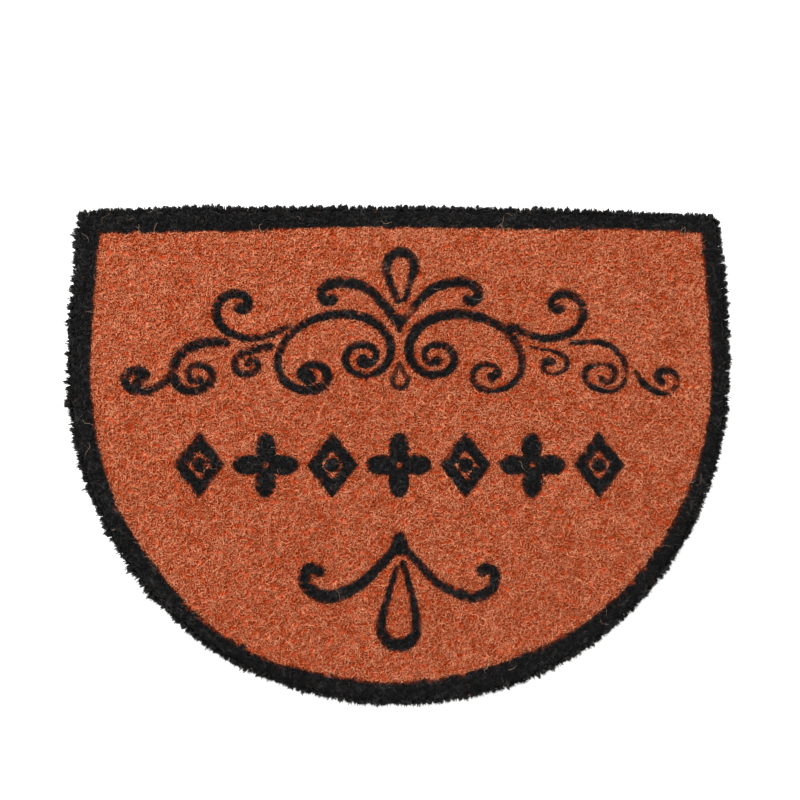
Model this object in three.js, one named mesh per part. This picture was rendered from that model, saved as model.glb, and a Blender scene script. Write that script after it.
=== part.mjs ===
import * as THREE from "three";

// Half round coir doormat, in millimetres, +Z up.
// The mat lies flat. Its straight edge is at +Y and its curved front at -Y.
// The whole mat is one piece: a thin backing under a dense brush pile.
// Its border and ornament are dye on the pile, so they have no height.

// Driving dimensions of the rim, without its locks
const HALF_WIDTH = 296;
const FRONT_DEPTH = 308;
const FRONT_FULLNESS = 2.07; // 2 is a half ellipse, and more is squarer
const SIDE_LENGTH = 130;
const BACK_BOW = 8;
const SIDE_TAPER = 4;
const CORNER = 11;

// Heights above the floor
const THICKNESS = 18;
const BACKING = 2.4;
const LOCK_FOOT = 7.5;
const LOCK_TOP = 13.5;
const SHOULDER = 16.2;

// How far each level of the wall lies inside the rim
const BACKING_INSET = 2.4;
const FOOT_INSET = 1.4;
const SHOULDER_INSET = 1.6;
const CROWN_INSET = 8;

// The rim's outermost tufts, one lock for each pitch of the rim
const LOCKS = 288;
const LOCK_SHARE = 0.74;
const LOCK_REACH = { least: 0.9, most: 3.6 };
const LOCK_TIP = { low: 9.5, high: 16.4 };
const LOCK_LEAN = 1.1;

// Large and unlike factors, so that neighbouring locks get unlike values
const SCATTER = { perNumber: 12.9898, perUse: 78.233, stretch: 43758.5453 };

// The rim wanders a little, in whole waves round the mat
const RIM_WAVES = [
  { count: 23, height: 0.45, phase: 0.6 },
  { count: 57, height: 0.4, phase: 2.1 },
  { count: 101, height: 0.35, phase: 4.0 },
];

// The top swells and sinks gently, as brush pile does
const LUMPS = [
  { alongX: 1 / 13, alongY: 1 / 31, height: 0.28, phase: 0.4 },
  { alongX: -1 / 37, alongY: 1 / 11, height: 0.26, phase: 1.9 },
  { alongX: 1 / 19, alongY: 1 / 23, height: 0.24, phase: 3.1 },
];
const LUMP_SUM = LUMPS.reduce((sum, lump) => sum + lump.height, 0);

// The rings of the top, each shrunk towards the mat's middle
const TOP_RINGS = [
  { scale: 0.93, points: LOCKS / 2 },
  { scale: 0.83, points: LOCKS / 2 },
  { scale: 0.7, points: LOCKS / 4 },
  { scale: 0.55, points: LOCKS / 4 },
  { scale: 0.38, points: LOCKS / 8 },
  { scale: 0.19, points: LOCKS / 16 },
];

// The curved front: a half ellipse, a little fuller than a true one.
class FrontCurve extends THREE.Curve {
  getPoint(t, target = new THREE.Vector2()) {
    const angle = Math.PI * (1 + t);
    const fuller = (value) => Math.sign(value) * Math.abs(value) ** (2 / FRONT_FULLNESS);
    return target.set(HALF_WIDTH * fuller(Math.cos(angle)), FRONT_DEPTH * fuller(Math.sin(angle)));
  }
}

// The rim's course seen from above, anticlockwise from the left side.
function rimPath() {
  const sideTop = SIDE_LENGTH - CORNER;
  const backX = HALF_WIDTH - SIDE_TAPER;
  const path = new THREE.Path();
  path.add(new FrontCurve());
  path.currentPoint.set(HALF_WIDTH, 0);
  path.quadraticCurveTo(HALF_WIDTH, sideTop / 2, backX, sideTop);
  path.quadraticCurveTo(backX, SIDE_LENGTH, backX - CORNER, SIDE_LENGTH);
  path.quadraticCurveTo(0, SIDE_LENGTH + 2 * BACK_BOW, CORNER - backX, SIDE_LENGTH);
  path.quadraticCurveTo(-backX, SIDE_LENGTH, -backX, sideTop);
  path.quadraticCurveTo(-HALF_WIDTH, sideTop / 2, -HALF_WIDTH, 0);
  return path;
}

const rim = rimPath();
const middle = new THREE.Vector2(0, (SIDE_LENGTH + BACK_BOW - FRONT_DEPTH) / 2);

// An uneven value from 0 to 1 for each whole number and each use of it.
function uneven(number, use) {
  const scattered = Math.sin(number * SCATTER.perNumber + use * SCATTER.perUse) * SCATTER.stretch;
  return scattered - Math.floor(scattered);
}

// How far the rim wanders outwards at a share of its length.
function wander(share) {
  const turn = 2 * Math.PI * share;
  return RIM_WAVES.reduce((sum, wave) => sum + wave.height * Math.sin(wave.count * turn + wave.phase), 0);
}

// The point that lies a given way outside the rim at a share of its length.
function outside(share, out, along = 0) {
  const wrapped = ((share % 1) + 1) % 1;
  const point = rim.getPoint(wrapped);
  const tangent = rim.getTangent(wrapped);
  const reach = out + wander(wrapped);
  point.x += tangent.y * reach + tangent.x * along;
  point.y += -tangent.x * reach + tangent.y * along;
  return point;
}

// The height of the pile's top over a point.
function pileTop(x, y) {
  const swell = LUMPS.reduce(
    (sum, lump) => sum + lump.height * Math.sin(x * lump.alongX + y * lump.alongY + lump.phase), 0);
  return THICKNESS - LUMP_SUM + swell;
}

// The shares of the rim's length at which the two feet of each lock stand.
function lockShares() {
  const shares = [];
  for (let i = 0; i < LOCKS; i++) {
    const centre = i + 0.5;
    shares.push((centre - LOCK_SHARE / 2) / LOCKS, (centre + LOCK_SHARE / 2) / LOCKS);
  }
  return shares;
}

// The mat's surface as a list of points and of triangles between them.
class Surface {
  positions = [];
  triangles = [];

  point(x, y, z) {
    this.positions.push(x, y, z);
    return this.positions.length / 3 - 1;
  }

  // A closed ring of points, from a function of the share of the rim.
  ring(shares, place) {
    return shares.map((share) => this.point(...place(share)));
  }

  quad(a, b, c, d) {
    this.triangles.push(a, b, c, a, c, d);
  }

  // A band between two rings of the same number of points, the lower first.
  band(lower, upper) {
    lower.forEach((_, i) => {
      const next = (i + 1) % lower.length;
      this.quad(lower[i], lower[next], upper[next], upper[i]);
    });
  }

  // A band from a ring to one inside it with half as many points.
  // Each inner point stands over the first of its two outer ones.
  halve(outer, inner) {
    inner.forEach((_, i) => {
      const next = (i + 1) % inner.length;
      const last = (2 * i + 2) % outer.length;
      this.triangles.push(outer[2 * i], outer[2 * i + 1], inner[i]);
      this.triangles.push(outer[2 * i + 1], outer[last], inner[next]);
      this.triangles.push(outer[2 * i + 1], inner[next], inner[i]);
    });
  }

  // The same, where the ring with more points is the upper one.
  double(lower, upper) {
    lower.forEach((_, i) => {
      const next = (i + 1) % lower.length;
      const last = (2 * i + 2) % upper.length;
      this.triangles.push(lower[i], upper[2 * i + 1], upper[2 * i]);
      this.triangles.push(lower[i], lower[next], upper[2 * i + 1]);
      this.triangles.push(lower[next], upper[last], upper[2 * i + 1]);
    });
  }

  geometry() {
    const geometry = new THREE.BufferGeometry();
    geometry.setAttribute("position", new THREE.Float32BufferAttribute(this.positions, 3));
    geometry.setIndex(this.triangles);
    return geometry;
  }
}

// The wall's lock band: a four-sided lock on each pitch, plain wall between.
function addLocks(surface, foot, top) {
  for (let i = 0; i < LOCKS; i++) {
    const left = 2 * i;
    const right = 2 * i + 1;
    const next = (2 * i + 2) % foot.length;
    const reach = THREE.MathUtils.lerp(LOCK_REACH.least, LOCK_REACH.most, uneven(i, 1));
    const lean = THREE.MathUtils.lerp(-LOCK_LEAN, LOCK_LEAN, uneven(i, 2));
    const height = THREE.MathUtils.lerp(LOCK_TIP.low, LOCK_TIP.high, uneven(i, 3));
    const end = outside((i + 0.5) / LOCKS, reach, lean);
    const tip = surface.point(end.x, end.y, height);
    surface.triangles.push(foot[left], foot[right], tip);
    surface.triangles.push(foot[right], top[right], tip);
    surface.triangles.push(top[right], top[left], tip);
    surface.triangles.push(top[left], foot[left], tip);
    surface.quad(foot[right], foot[next], top[next], top[right]);
  }
}

// The pile's top: rings that thin out towards the middle, and a last fan.
function addTop(surface, crown) {
  let outer = crown;
  for (const { scale, points } of TOP_RINGS) {
    const shares = Array.from({ length: points }, (_, i) => i / points);
    const inner = surface.ring(shares, (share) => {
      const at = outside(share, -CROWN_INSET).sub(middle).multiplyScalar(scale).add(middle);
      return [at.x, at.y, pileTop(at.x, at.y)];
    });
    if (points === outer.length) surface.band(outer, inner);
    else surface.halve(outer, inner);
    outer = inner;
  }
  const centre = surface.point(middle.x, middle.y, pileTop(middle.x, middle.y));
  outer.forEach((_, i) => {
    surface.triangles.push(outer[i], outer[(i + 1) % outer.length], centre);
  });
}

// The flat underside, across the backing's lower ring.
function addUnderside(surface, ring) {
  const outline = ring.map((i) => new THREE.Vector2(surface.positions[3 * i], surface.positions[3 * i + 1]));
  for (const [a, b, c] of THREE.ShapeUtils.triangulateShape(outline, [])) {
    surface.triangles.push(ring[a], ring[c], ring[b]);
  }
}

// The whole mat as one closed surface, from the backing to the pile's top.
function matGeometry() {
  const surface = new Surface();
  const feet = lockShares();
  const pitches = Array.from({ length: LOCKS }, (_, i) => i / LOCKS);
  const level = (inset, z) => (share) => {
    const at = outside(share, -inset);
    return [at.x, at.y, z];
  };

  const ground = surface.ring(pitches, level(BACKING_INSET, 0));
  const backing = surface.ring(pitches, level(BACKING_INSET, BACKING));
  const foot = surface.ring(feet, level(FOOT_INSET, LOCK_FOOT));
  const top = surface.ring(feet, level(0, LOCK_TOP));
  const shoulder = surface.ring(feet, level(SHOULDER_INSET, SHOULDER));
  const crown = surface.ring(pitches, (share) => {
    const at = outside(share, -CROWN_INSET);
    return [at.x, at.y, pileTop(at.x, at.y)];
  });

  addUnderside(surface, ground);
  surface.band(ground, backing);
  surface.double(backing, foot);
  addLocks(surface, foot, top);
  surface.band(top, shoulder);
  surface.halve(shoulder, crown);
  addTop(surface, crown);
  return surface.geometry();
}

// The mat with the origin under the middle of its box.
function mat() {
  const geometry = matGeometry();
  geometry.computeBoundingBox();
  const centre = geometry.boundingBox.getCenter(new THREE.Vector3());
  geometry.translate(-centre.x, -centre.y, 0);
  const coir = new THREE.MeshStandardMaterial({ color: 0xaf5939, roughness: 0.95, metalness: 0 });
  const mesh = new THREE.Mesh(geometry, coir);
  mesh.name = "mat";
  return mesh;
}

const doormat = new THREE.Group();
doormat.add(mat());

export default doormat;
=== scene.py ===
"""Half round coir doormat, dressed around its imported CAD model.

The real mat is one piece. Coir fibres stand upright in a thin vinyl backing and are cut
level. They are dyed terracotta, and a border and an ornament are printed on them in black.
The print is colour alone: it follows the pile and adds no height.

Lengths are in metres, and MM turns a length in millimetres into metres.
"""

import logging
import math
from dataclasses import dataclass, field
from enum import Enum
from itertools import cycle
from typing import ClassVar

import bpy
import numpy as np
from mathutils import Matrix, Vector


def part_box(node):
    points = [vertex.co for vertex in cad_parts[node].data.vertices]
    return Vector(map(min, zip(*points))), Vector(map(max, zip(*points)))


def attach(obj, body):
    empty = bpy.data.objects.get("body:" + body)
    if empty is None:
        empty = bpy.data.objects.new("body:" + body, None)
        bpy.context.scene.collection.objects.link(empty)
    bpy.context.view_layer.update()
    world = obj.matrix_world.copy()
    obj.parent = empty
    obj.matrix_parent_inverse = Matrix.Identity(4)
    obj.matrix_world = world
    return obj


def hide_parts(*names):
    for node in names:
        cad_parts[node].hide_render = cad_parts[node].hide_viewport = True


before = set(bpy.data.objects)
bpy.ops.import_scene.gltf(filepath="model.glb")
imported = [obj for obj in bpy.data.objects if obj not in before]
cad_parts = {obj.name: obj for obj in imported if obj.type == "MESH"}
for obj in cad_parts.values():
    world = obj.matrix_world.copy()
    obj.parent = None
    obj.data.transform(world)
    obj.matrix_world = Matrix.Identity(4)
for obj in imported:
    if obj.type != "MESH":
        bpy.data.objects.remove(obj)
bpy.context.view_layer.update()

MM = 0.001
BODY = "root"
MAT_NODE = "mat"
# How far the random fields and the grids go from the origin in x and y, a little past the mat
PLAN_REACH = np.array([0.34, 0.27])
# The lowest and highest place that a small shape's points take in its square on a map
CELL_LOW, CELL_HIGH = 0.1, 0.9
LOG = logging.getLogger("doormat")

Socket = bpy.types.NodeSocket
Place = tuple[float, float] | np.ndarray


def linear(hex_colour: str) -> tuple[float, float, float, float]:
    """Turns an sRGB hex colour into linear light, by the sRGB standard's own curve.

    Args:
        hex_colour: The colour as "#RRGGBB".

    Returns:
        Red, green, blue and alpha in Blender's linear space.
    """
    levels = [int(hex_colour[i:i + 2], 16) / 255 for i in (1, 3, 5)]
    return (*(v / 12.92 if v <= 0.04045 else ((v + 0.055) / 1.055) ** 2.4 for v in levels), 1.0)


def add_node(
    tree: bpy.types.NodeTree,
    kind: str,
    inputs: dict[str, object] | None = None,
    settings: dict[str, object] | None = None,
) -> dict[str, Socket]:
    """Adds a node with its settings and links.

    Args:
        tree: The node tree that gets the node.
        kind: Blender's name for the kind of node.
        inputs: What its input sockets get, by identifier: a plain value, or a socket to link.
        settings: The node's own options, by name.

    Returns:
        The node's output sockets by identifier.
    """
    node = tree.nodes.new(kind)
    for name, value in (settings or {}).items():
        setattr(node, name, value)
    sockets = {socket.identifier: socket for socket in node.inputs}
    for name, given in (inputs or {}).items():
        if isinstance(given, Socket):
            tree.links.new(given, sockets[name])
        else:
            sockets[name].default_value = given
    return {socket.identifier: socket for socket in node.outputs}


def new_material(name: str) -> bpy.types.Material:
    """Makes a node material and clears its nodes.

    Args:
        name: The material's name.

    Returns:
        The empty material.
    """
    material = bpy.data.materials.new(name)
    material.use_nodes = True
    material.node_tree.nodes.clear()
    return material


@dataclass(frozen=True)
class GrainedFinish:
    """What the mat's finishes share: a fine grain in relief, and a roughness that varies."""

    name: str
    least_roughness: float
    most_roughness: float
    relief: float
    relief_strength: float

    COLOURS: ClassVar[dict[str, str]] = {"data_type": "RGBA"}

    def start(self) -> tuple[bpy.types.Material, Socket]:
        """Makes the empty material and finds each point's place on the object.

        Returns:
            The material, and the socket that gives the place.
        """
        material = new_material(self.name)
        return material, add_node(material.node_tree, "ShaderNodeTexCoord")["Object"]

    def close(
        self,
        tree: bpy.types.NodeTree,
        colour: Socket,
        dulling: Socket,
        grain: Socket,
        shine: float | Socket,
    ) -> None:
        """Adds the roughness, the relief, the shader and the output.

        Args:
            tree: The material's node tree.
            colour: The surface's colour.
            dulling: What takes the roughness from its least to its most.
            grain: The height of the relief, from 0 to 1.
            shine: The specular level, as one value or as a socket.
        """
        roughness = add_node(
            tree, "ShaderNodeMapRange",
            {"To Min": self.least_roughness, "To Max": self.most_roughness, "Value": dulling},
        )["Result"]
        bump = add_node(
            tree, "ShaderNodeBump",
            {"Strength": self.relief_strength, "Distance": self.relief, "Height": grain},
        )["Normal"]
        shader = add_node(
            tree, "ShaderNodeBsdfPrincipled",
            {"Base Color": colour, "Roughness": roughness, "Normal": bump, "Specular IOR Level": shine},
        )["BSDF"]
        add_node(tree, "ShaderNodeOutputMaterial", {"Surface": shader})


@dataclass(frozen=True)
class DyedCoir(GrainedFinish):
    """Coir: coconut husk fibre, combed, dyed and cut. It looks matt and hairy.

    A fibre's body holds a deep, even dye, and its cut end is paler. The paler ends stand out
    as flecks, which is what gives the mat its grain. The black dye takes nearly all of that.
    Towards the root the rust turns darker still. That is partly the body's deep dye and partly
    painted shade for the shadow in the pits between the tufts.
    """

    name: str = "dyed coir fibre"
    least_roughness: float = 0.7
    most_roughness: float = 0.95
    relief: float = 0.05 * MM
    relief_strength: float = 0.5
    # Partly the roots' deep dye and partly painted shade for the pits between the tufts
    root_dye_and_shade: str = "#7C1E00"
    rust_dull: str = "#953707"
    rust_pale: str = "#D8936E"
    black_dull: str = "#0A0A0A"
    black_mid: str = "#1C1B1B"
    black_pale: str = "#3D3B3A"
    black_from: float = 0.55
    rust_specular: float = 0.01
    black_specular: float = 0.06
    strand_width: float = 0.3 * MM
    strand_length: float = 3 * MM
    strand_detail: float = 2.0
    strand_breakup: float = 0.6
    speckle: float = 1.7 * MM
    speckle_detail: float = 1.0
    speckle_range: tuple[float, float] = (0.35, 0.65)
    speckle_most: float = 0.45

    def make(self) -> bpy.types.Material:
        """Builds the material. It reads the pile's dye, shade and rise at each point.

        Returns:
            The finished material.
        """
        material, place = self.start()
        tree = material.node_tree
        dye, shade, rise = (
            add_node(tree, "ShaderNodeAttribute", None, {"attribute_name": name})["Fac"]
            for name in ("dye", "shade", "rise")
        )
        # Real strands are 0.1 to 0.3 mm wide. The wider end is used, so that some of it shows.
        across, along = 1 / self.strand_width, 1 / self.strand_length
        strands = add_node(
            tree, "ShaderNodeMapping", {"Scale": (across, across, along), "Vector": place}
        )["Vector"]
        grain = add_node(
            tree, "ShaderNodeTexNoise",
            {
                "Scale": 1.0, "Detail": self.strand_detail, "Roughness": self.strand_breakup,
                "Vector": strands,
            },
        )["Fac"]
        # Husk takes the dye unevenly, so the deep colour breaks up in specks.
        speckle = add_node(
            tree, "ShaderNodeTexNoise",
            {"Scale": 1 / self.speckle, "Detail": self.speckle_detail, "Vector": place},
        )["Fac"]
        from_level, to_level = self.speckle_range
        specks = add_node(
            tree, "ShaderNodeMapRange",
            {"From Min": from_level, "From Max": to_level, "To Max": self.speckle_most, "Value": speckle},
        )["Result"]
        paler = add_node(
            tree, "ShaderNodeMath", {"Value": rise, "Value_001": specks}, {"operation": "ADD"}
        )["Value"]
        rust_end = add_node(
            tree, "ShaderNodeMix",
            {"Factor_Float": shade, "A_Color": linear(self.rust_dull), "B_Color": linear(self.rust_pale)},
            self.COLOURS,
        )["Result_Color"]
        # The root colour is partly deep dye and partly painted shade. It darkens the fibres' roots and the
        # bed in the pits between the tufts.
        rust = add_node(
            tree, "ShaderNodeMix",
            {"Factor_Float": paler, "A_Color": linear(self.root_dye_and_shade), "B_Color": rust_end},
            self.COLOURS,
        )["Result_Color"]
        # Black dye is nearly even. Only the palest fibres show more grey through it.
        grey = add_node(
            tree, "ShaderNodeMapRange", {"From Min": self.black_from, "Value": shade}
        )["Result"]
        soot = add_node(
            tree, "ShaderNodeMix",
            {
                "Factor_Float": speckle,
                "A_Color": linear(self.black_dull), "B_Color": linear(self.black_mid),
            },
            self.COLOURS,
        )["Result_Color"]
        black = add_node(
            tree, "ShaderNodeMix",
            {"Factor_Float": grey, "A_Color": soot, "B_Color": linear(self.black_pale)},
            self.COLOURS,
        )["Result_Color"]
        colour = add_node(
            tree, "ShaderNodeMix", {"Factor_Float": dye, "A_Color": rust, "B_Color": black}, self.COLOURS
        )["Result_Color"]
        # The black dye leaves a little gloss, which the dry rust fibre hasn't.
        shine = add_node(
            tree, "ShaderNodeMapRange",
            {"To Min": self.rust_specular, "To Max": self.black_specular, "Value": dye},
        )["Result"]
        self.close(tree, colour, grain, grain, shine)
        return material


@dataclass(frozen=True)
class BareCoir(GrainedFinish):
    """Coir fibre that took no dye. It looks like pale, dry straw with a faint gloss."""

    name: str = "bare coir fibre"
    least_roughness: float = 0.5
    most_roughness: float = 0.8
    relief: float = 0.03 * MM
    relief_strength: float = 0.5
    dull: str = "#8F7260"
    pale: str = "#CDAA8E"
    specular: float = 0.2
    grain: float = 1.5 * MM
    grain_detail: float = 2.0

    def make(self) -> bpy.types.Material:
        """Builds the material, which turns paler and rougher in patches along each fibre.

        Returns:
            The finished material.
        """
        material, place = self.start()
        tree = material.node_tree
        grain = add_node(
            tree, "ShaderNodeTexNoise",
            {"Scale": 1 / self.grain, "Detail": self.grain_detail, "Vector": place},
        )["Fac"]
        colour = add_node(
            tree, "ShaderNodeMix",
            {"Factor_Float": grain, "A_Color": linear(self.dull), "B_Color": linear(self.pale)},
            self.COLOURS,
        )["Result_Color"]
        self.close(tree, colour, grain, grain, self.specular)
        return material


@dataclass(frozen=True)
class CalenderedVinyl(GrainedFinish):
    """Soft vinyl sheet, rolled on as the backing. It looks dull, dark and finely grained."""

    name: str = "calendered vinyl backing"
    least_roughness: float = 0.5
    most_roughness: float = 0.8
    relief: float = 0.12 * MM
    relief_strength: float = 0.6
    dark: str = "#221D1B"
    worn: str = "#3A322E"
    specular: float = 0.3
    grain: float = 2.5 * MM
    grain_detail: float = 3.0
    blotch: float = 40 * MM
    blotch_detail: float = 4.0

    def make(self) -> bpy.types.Material:
        """Builds the material, with rolled grain and the blotches of a sheet that lies on a floor.

        Returns:
            The finished material.
        """
        material, place = self.start()
        tree = material.node_tree
        grain, blotch = (
            add_node(
                tree, "ShaderNodeTexNoise", {"Scale": 1 / size, "Detail": detail, "Vector": place}
            )["Fac"]
            for size, detail in ((self.grain, self.grain_detail), (self.blotch, self.blotch_detail))
        )
        colour = add_node(
            tree, "ShaderNodeMix",
            {"Factor_Float": blotch, "A_Color": linear(self.dark), "B_Color": linear(self.worn)},
            self.COLOURS,
        )["Result_Color"]
        self.close(tree, colour, blotch, grain, self.specular)
        return material


@dataclass(frozen=True)
class StudioPaper:
    """Seamless white paper, unrolled as the floor. It looks even and matt."""

    name: str = "studio paper"
    white: str = "#F2F2F0"
    roughness: float = 0.9
    specular: float = 0.1

    def make(self) -> bpy.types.Material:
        """Builds the material.

        Returns:
            The finished material.
        """
        material = new_material(self.name)
        shader = add_node(
            material.node_tree, "ShaderNodeBsdfPrincipled",
            {
                "Base Color": linear(self.white), "Roughness": self.roughness,
                "Specular IOR Level": self.specular,
            },
        )["BSDF"]
        add_node(material.node_tree, "ShaderNodeOutputMaterial", {"Surface": shader})
        return material


@dataclass
class Surface:
    """A closed surface as whole arrays, ready to become a piece.

    Attributes:
        name: The piece's name.
        points: One row of x, y and z for each point.
        triangles: One row of three point numbers for each face, anticlockwise from outside.
        values: One number for each point, under each attribute's name.
        cells: Each point's place on the piece's own map, if it has one.
        slots: Each face's material number.
    """

    name: str
    points: np.ndarray
    triangles: np.ndarray
    values: dict[str, np.ndarray] = field(default_factory=dict)
    cells: np.ndarray | None = None
    slots: np.ndarray | None = None

    MAP_NAME: ClassVar[str] = "OFBake"

    def piece(self, materials: list[bpy.types.Material]) -> bpy.types.Object:
        """Puts the arrays into a mesh and hangs its object on the mat's body.

        Args:
            materials: The piece's materials, in the order of slots.

        Returns:
            The new object.
        """
        mesh = bpy.data.meshes.new(self.name)
        corners = self.triangles.ravel().astype(np.int32)
        mesh.vertices.add(len(self.points))
        mesh.vertices.foreach_set("co", self.points.astype(np.float32).ravel())
        mesh.loops.add(len(corners))
        mesh.loops.foreach_set("vertex_index", corners)
        mesh.polygons.add(len(self.triangles))
        mesh.polygons.foreach_set("loop_start", np.arange(0, len(corners), 3, dtype=np.int32))
        if self.slots is not None:
            mesh.polygons.foreach_set("material_index", self.slots.astype(np.int32))
        mesh.update(calc_edges=True)
        for name, values in self.values.items():
            attribute = mesh.attributes.new(name, "FLOAT", "POINT")
            attribute.data.foreach_set("value", values.astype(np.float32))
        if self.cells is not None:
            layer = mesh.uv_layers.new(name=self.MAP_NAME)
            layer.uv.foreach_set("vector", self.cells[corners].astype(np.float32).ravel())
        for material in materials:
            mesh.materials.append(material)
        made = bpy.data.objects.new(self.name, mesh)
        bpy.context.scene.collection.objects.link(made)
        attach(made, BODY)
        return made


def map_cells(count: int, corners: np.ndarray) -> np.ndarray:
    """Gives each of many small shapes its own square on a map.

    The squares stand in rows that fill the map. Each shape's points take the same places
    within its square.

    Args:
        count: The number of shapes.
        corners: The places of one shape's points in a square, from 0 to 1.

    Returns:
        The places of all the shapes' points, shape by shape.
    """
    side = math.ceil(math.sqrt(count))
    number = np.arange(count)
    origins = np.stack([number % side, number // side], 1)
    return ((origins[:, None, :] + corners[None]) / side).reshape(-1, 2)


def eased(share: np.ndarray) -> np.ndarray:
    """Eases each share t, from 0 to 1, to 3t² - 2t³."""
    return share * share * (3 - 2 * share)


def heading(angle: np.ndarray) -> np.ndarray:
    """Gives a row of x and y, of length 1, for each angle anticlockwise from +X."""
    return np.stack([np.cos(angle), np.sin(angle)], 1)


def between(nodes: np.ndarray, cell: np.ndarray, share: np.ndarray) -> np.ndarray:
    """Blends the values at the four corners of each point's cell, first along x, then along y.

    Args:
        nodes: The values at the corners, by column and row.
        cell: The column and row of each point's cell.
        share: How far each point lies across its cell in x and in y, from 0 to 1.

    Returns:
        The value at each point.
    """
    (i, j), (s, t) = cell.T, share.T
    near = nodes[i, j] * (1 - s) + nodes[i + 1, j] * s
    far = nodes[i, j + 1] * (1 - s) + nodes[i + 1, j + 1] * s
    return near * (1 - t) + far * t


@dataclass(frozen=True)
class SmoothField:
    """A smooth random height over the plan, from -1 to 1, the same on every run.

    Attributes:
        grain: The distance between its swells.
        seed: What picks this field's heights.
    """

    grain: float
    seed: int

    def at(self, plan: np.ndarray) -> np.ndarray:
        """Reads the field.

        The plan is laid out in squares of one grain, and each corner has a random height.
        A point takes the blend of its square's four corners, with both shares eased.

        Args:
            plan: One row of x and y for each point.

        Returns:
            The height at each point.
        """
        count = np.ceil(2 * PLAN_REACH / self.grain).astype(int) + 2
        heights = np.random.default_rng(self.seed).uniform(-1, 1, count)
        place = (plan + PLAN_REACH) / self.grain
        cell = np.clip(np.floor(place).astype(int), 0, count - 2)
        return between(heights, cell, eased(np.clip(place - cell, 0, 1)))


@dataclass(frozen=True)
class PlanGrid:
    """Values on a square grid over the plan, read between its nodes.

    Attributes:
        x: The columns' places.
        y: The rows' places.
        values: One row of values for each row of the grid.
    """

    x: np.ndarray
    y: np.ndarray
    values: np.ndarray

    @classmethod
    def over_mat(cls, step: float, start: float) -> "PlanGrid":
        """Makes a grid over the mat and a little more, with one value everywhere.

        Args:
            step: The distance between the grid's nodes.
            start: The value that every node gets.

        Returns:
            The grid.
        """
        x, y = (np.arange(-reach, reach + step, step) for reach in PLAN_REACH)
        return cls(x, y, np.full((len(y), len(x)), start))

    def window(self, low: np.ndarray, high: np.ndarray) -> tuple[slice, slice]:
        """Finds the rows and columns between two corners.

        Args:
            low: The lowest x and y.
            high: The highest x and y.

        Returns:
            The slices of rows and of columns.
        """
        first = np.searchsorted(self.x, low[0]), np.searchsorted(self.y, low[1])
        last = np.searchsorted(self.x, high[0]), np.searchsorted(self.y, high[1])
        return slice(first[1], last[1]), slice(first[0], last[0])

    def at(self, plan: np.ndarray) -> np.ndarray:
        """Reads the grid by blending the four nodes round each point.

        Args:
            plan: One row of x and y for each point.

        Returns:
            The value at each point.
        """
        step = self.x[1] - self.x[0]
        place = (plan - (self.x[0], self.y[0])) / step
        cell = np.clip(np.floor(place).astype(int), 0, (len(self.x) - 2, len(self.y) - 2))
        return between(self.values.T, cell, place - cell)


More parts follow.
